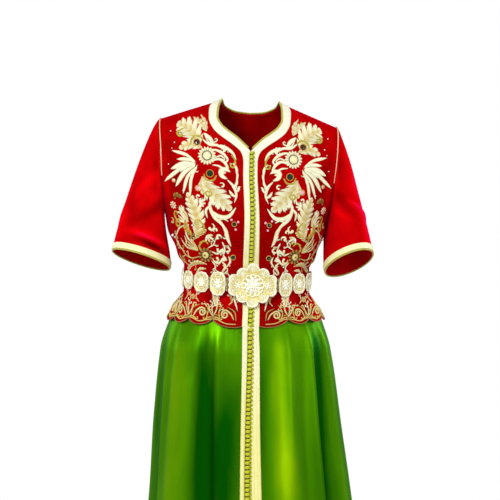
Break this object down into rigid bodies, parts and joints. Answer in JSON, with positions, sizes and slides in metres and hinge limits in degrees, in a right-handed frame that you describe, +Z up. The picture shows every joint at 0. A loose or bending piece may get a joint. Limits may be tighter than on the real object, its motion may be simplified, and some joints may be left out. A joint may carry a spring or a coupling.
{
  "type": "moroccan kaftan",
  "caption": "Floor-length kaftan in worn form: velvet bodice with short sleeves and scalloped peplum, flared satin skirt, braided front opening with knot buttons, and a plate belt.",
  "frame": {"origin": "midway between the high points of the two shoulders, where the garment is held", "axes": "+Z up, the front faces -Y, +X is the wearer's left"},
  "size_m": [0.5997, 0.4678, 1.4599],
  "materials": {
    "red_velvet": "red velvet with a soft pile",
    "green_satin": "glossy green satin",
    "cream_gold_braid": "flat woven braid, cream and gold thread",
    "olive_gold_cord": "twisted and knotted olive-gold silk cord",
    "rose_gold_piping": "fine rose-gold piping",
    "gilt_filigree": "pale gilt filigree over sheet metal"
  },
  "bodies": {
    "root": {"armhole_piping_left": "rose_gold_piping", "armhole_piping_right": "rose_gold_piping", "back_neck_braid": "cream_gold_braid", "back_neck_cord": "olive_gold_cord", "belt_buckle": "gilt_filigree", "belt_hinge_left_1": "gilt_filigree", "belt_hinge_left_2": "gilt_filigree", "belt_hinge_left_3": "gilt_filigree", "belt_hinge_left_4": "gilt_filigree", "belt_hinge_left_5": "gilt_filigree", "belt_hinge_left_6": "gilt_filigree", "belt_hinge_left_7": "gilt_filigree", "belt_hinge_left_8": "gilt_filigree", "belt_hinge_left_9": "gilt_filigree", "belt_hinge_right_1": "gilt_filigree", "belt_hinge_right_2": "gilt_filigree", "belt_hinge_right_3": "gilt_filigree", "belt_hinge_right_4": "gilt_filigree", "belt_hinge_right_5": "gilt_filigree", "belt_hinge_right_6": "gilt_filigree", "belt_hinge_right_7": "gilt_filigree", "belt_hinge_right_8": "gilt_filigree", "belt_hinge_right_9": "gilt_filigree", "belt_plate_back": "gilt_filigree", "belt_plate_left_1": "gilt_filigree", "belt_plate_left_2": "gilt_filigree", "belt_plate_left_3": "gilt_filigree", "belt_plate_left_4": "gilt_filigree", "belt_plate_left_5": "gilt_filigree", "belt_plate_left_6": "gilt_filigree", "belt_plate_left_7": "gilt_filigree", "belt_plate_left_8": "gilt_filigree", "belt_plate_right_1": "gilt_filigree", "belt_plate_right_2": "gilt_filigree", "belt_plate_right_3": "gilt_filigree", "belt_plate_right_4": "gilt_filigree", "belt_plate_right_5": "gilt_filigree", "belt_plate_right_6": "gilt_filigree", "belt_plate_right_7": "gilt_filigree", "belt_plate_right_8": "gilt_filigree", "bodice_back": "red_velvet", "bodice_button_row": "olive_gold_cord", "bodice_front_left": "red_velvet", "bodice_front_right": "red_velvet", "front_braid_left": "cream_gold_braid", "front_braid_right": "cream_gold_braid", "neck_cord_left": "olive_gold_cord", "neck_cord_right": "olive_gold_cord", "skirt_back": "green_satin", "skirt_braid_left": "cream_gold_braid", "skirt_braid_right": "cream_gold_braid", "skirt_button_row": "olive_gold_cord", "skirt_front_left": "green_satin", "skirt_front_right": "green_satin", "sleeve_braid_left": "cream_gold_braid", "sleeve_braid_right": "cream_gold_braid", "sleeve_cord_left": "olive_gold_cord", "sleeve_cord_right": "olive_gold_cord", "sleeve_left": "red_velvet", "sleeve_right": "red_velvet"}
  },
  "joints": []
}
